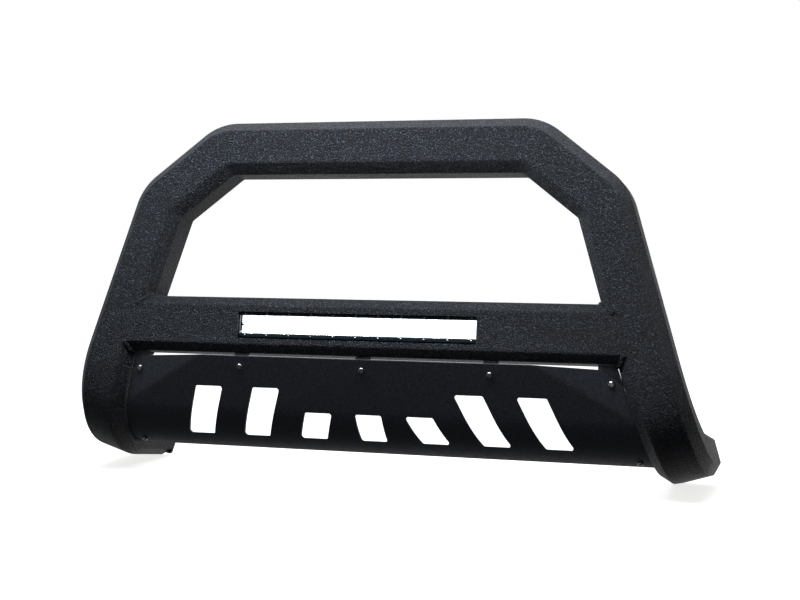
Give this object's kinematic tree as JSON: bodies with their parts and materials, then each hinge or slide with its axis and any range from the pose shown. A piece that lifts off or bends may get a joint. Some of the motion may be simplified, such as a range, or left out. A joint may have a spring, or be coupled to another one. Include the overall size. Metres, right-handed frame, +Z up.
{
  "type": "front grille guard",
  "caption": "Welded octagonal hoop guard for a truck's nose, with a lit crossbar that tilts its light and a bolted slotted skid plate.",
  "frame": {"origin": "midway between the legs' rear ends, on the level of the tube's centre line, in the plane of the mounting faces", "axes": "+Z up, +Y towards the vehicle, +X to the right seen from the front; the hoop leans back from the vertical"},
  "size_m": [1.0742, 0.2725, 0.5939],
  "materials": {
    "powder_coat": "coarse textured black powder coat, satin",
    "stainless": "bright stainless",
    "zinc_plate": "zinc plated",
    "black_anodised": "black anodised",
    "gasket_rubber": "matt",
    "clear_lens": "clear polycarbonate",
    "bright_reflector": "metallised plastic",
    "white_board": "white solder resist",
    "black_nylon": "matt black"
  },
  "bodies": {
    "guard": {"hoop_tube": "powder_coat", "crossbar_shell": "powder_coat", "skid_plate": "powder_coat", "left_end_plate": "powder_coat", "left_weld_nut_1": "zinc_plate", "left_weld_nut_2": "zinc_plate", "light_bracket_left": "powder_coat", "right_end_plate": "powder_coat", "right_weld_nut_1": "zinc_plate", "right_weld_nut_2": "zinc_plate", "light_bracket_right": "powder_coat", "centre_left_tab": "powder_coat", "centre_left_screw": "stainless", "centre_left_washer": "zinc_plate", "centre_left_nut": "zinc_plate", "centre_middle_tab": "powder_coat", "centre_middle_screw": "stainless", "centre_middle_washer": "zinc_plate", "centre_middle_nut": "zinc_plate", "centre_right_tab": "powder_coat", "centre_right_screw": "stainless", "centre_right_washer": "zinc_plate", "centre_right_nut": "zinc_plate", "upper_left_tab": "powder_coat", "upper_left_screw": "stainless", "upper_left_washer": "zinc_plate", "upper_left_nut": "zinc_plate", "upper_right_tab": "powder_coat", "upper_right_screw": "stainless", "upper_right_washer": "zinc_plate", "upper_right_nut": "zinc_plate", "lower_left_tab": "powder_coat", "lower_left_screw": "stainless", "lower_left_washer": "zinc_plate", "lower_left_nut": "zinc_plate", "lower_right_tab": "powder_coat", "lower_right_screw": "stainless", "lower_right_washer": "zinc_plate", "lower_right_nut": "zinc_plate"},
    "light": {"light_housing": "black_anodised", "light_end_cap_left": "black_anodised", "light_end_cap_right": "black_anodised", "light_bezel": "black_anodised", "light_gasket": "gasket_rubber", "light_lens": "clear_lens", "light_reflector": "bright_reflector", "led_board": "white_board", "left_aim_bolt": "stainless", "right_aim_bolt": "stainless", "left_aim_washer": "zinc_plate", "right_aim_washer": "zinc_plate", "cable_gland": "black_nylon", "breather_valve": "black_nylon"}
  },
  "joints": [
    {"name": "light_aim", "type": "hinge", "parent": "guard", "child": "light", "pos_m": [-0.013, -0.22271, 0.21365], "axis": [1, 0, 0], "range_deg": [-5, 5]}
  ]
}
